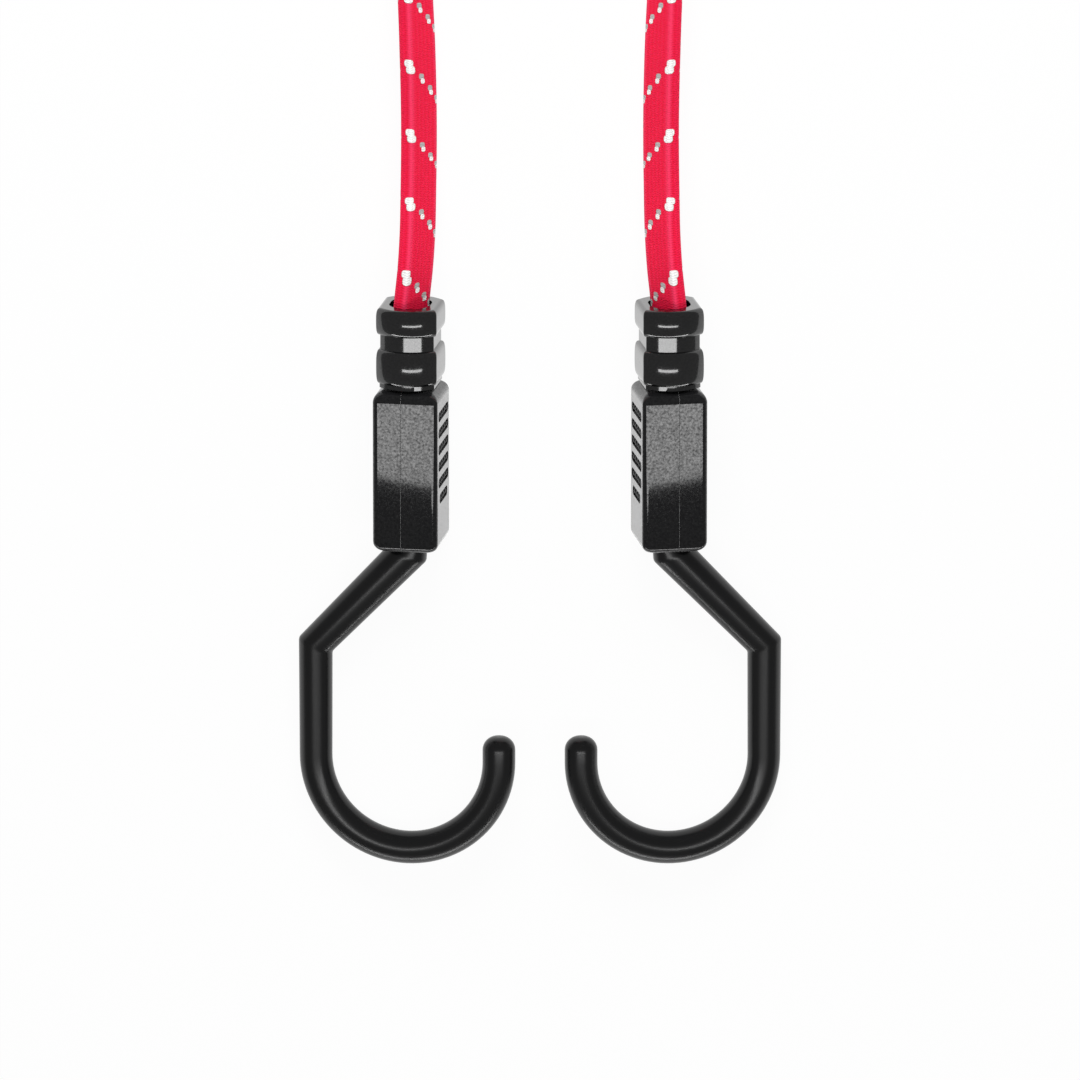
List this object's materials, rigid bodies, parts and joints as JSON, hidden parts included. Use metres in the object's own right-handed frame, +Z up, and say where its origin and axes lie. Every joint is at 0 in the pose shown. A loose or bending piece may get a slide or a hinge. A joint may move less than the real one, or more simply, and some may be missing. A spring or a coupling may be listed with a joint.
{
  "type": "bungee cord",
  "caption": "Flat elastic strap with a moulded split grip, a ribbed collar and an angled, plastic-coated steel hook at each end, lying with its two ends side by side.",
  "frame": {"origin": "on the ground, under the middle of the box round the two ends, which lie side by side", "axes": "+Z up from the ground, +Y from the hooks towards the strap's turn, +X from the left end to the right end"},
  "size_m": [0.1218, 0.288, 0.0221],
  "materials": {
    "housing_plastic": "fine-grained matte black",
    "collar_plastic": "glossy black",
    "grip_rubber": "matte black, beaded",
    "hook_coating": "satin black coating",
    "hook_steel": "plain drawn wire",
    "crimp_steel": "zinc-plated",
    "sheath_weave": "woven polyester, crimson with white tracers",
    "strand_rubber": "natural latex, dusted"
  },
  "bodies": {
    "strap": {"strap_sheath": "sheath_weave", "strap_strand_1": "strand_rubber", "strap_strand_2": "strand_rubber", "strap_strand_3": "strand_rubber"},
    "left_end": {"left_housing_inner_half": "housing_plastic", "left_housing_outer_half": "housing_plastic", "left_collar": "collar_plastic", "left_grip_insert_inner": "grip_rubber", "left_grip_insert_outer": "grip_rubber", "left_hook_jacket": "hook_coating", "left_hook_core": "hook_steel", "left_strap_crimp": "crimp_steel", "left_strap_end_sheath": "sheath_weave", "left_strap_end_strand_1": "strand_rubber", "left_strap_end_strand_2": "strand_rubber", "left_strap_end_strand_3": "strand_rubber"},
    "right_end": {"right_housing_inner_half": "housing_plastic", "right_housing_outer_half": "housing_plastic", "right_collar": "collar_plastic", "right_grip_insert_inner": "grip_rubber", "right_grip_insert_outer": "grip_rubber", "right_hook_jacket": "hook_coating", "right_hook_core": "hook_steel", "right_strap_crimp": "crimp_steel", "right_strap_end_sheath": "sheath_weave", "right_strap_end_strand_1": "strand_rubber", "right_strap_end_strand_2": "strand_rubber", "right_strap_end_strand_3": "strand_rubber"}
  },
  "joints": [
    {"name": "left_stretch", "type": "slide", "parent": "strap", "child": "left_end", "axis": [0, -1, 0], "range_m": [0, 0.15], "stiffness_N_per_m": 800, "deforming": ["strap_sheath", "strap_strand_1", "strap_strand_2", "strap_strand_3"]},
    {"name": "right_stretch", "type": "slide", "parent": "strap", "child": "right_end", "axis": [0, -1, 0], "range_m": [0, 0.15], "stiffness_N_per_m": 800, "deforming": ["strap_sheath", "strap_strand_1", "strap_strand_2", "strap_strand_3"]}
  ]
}
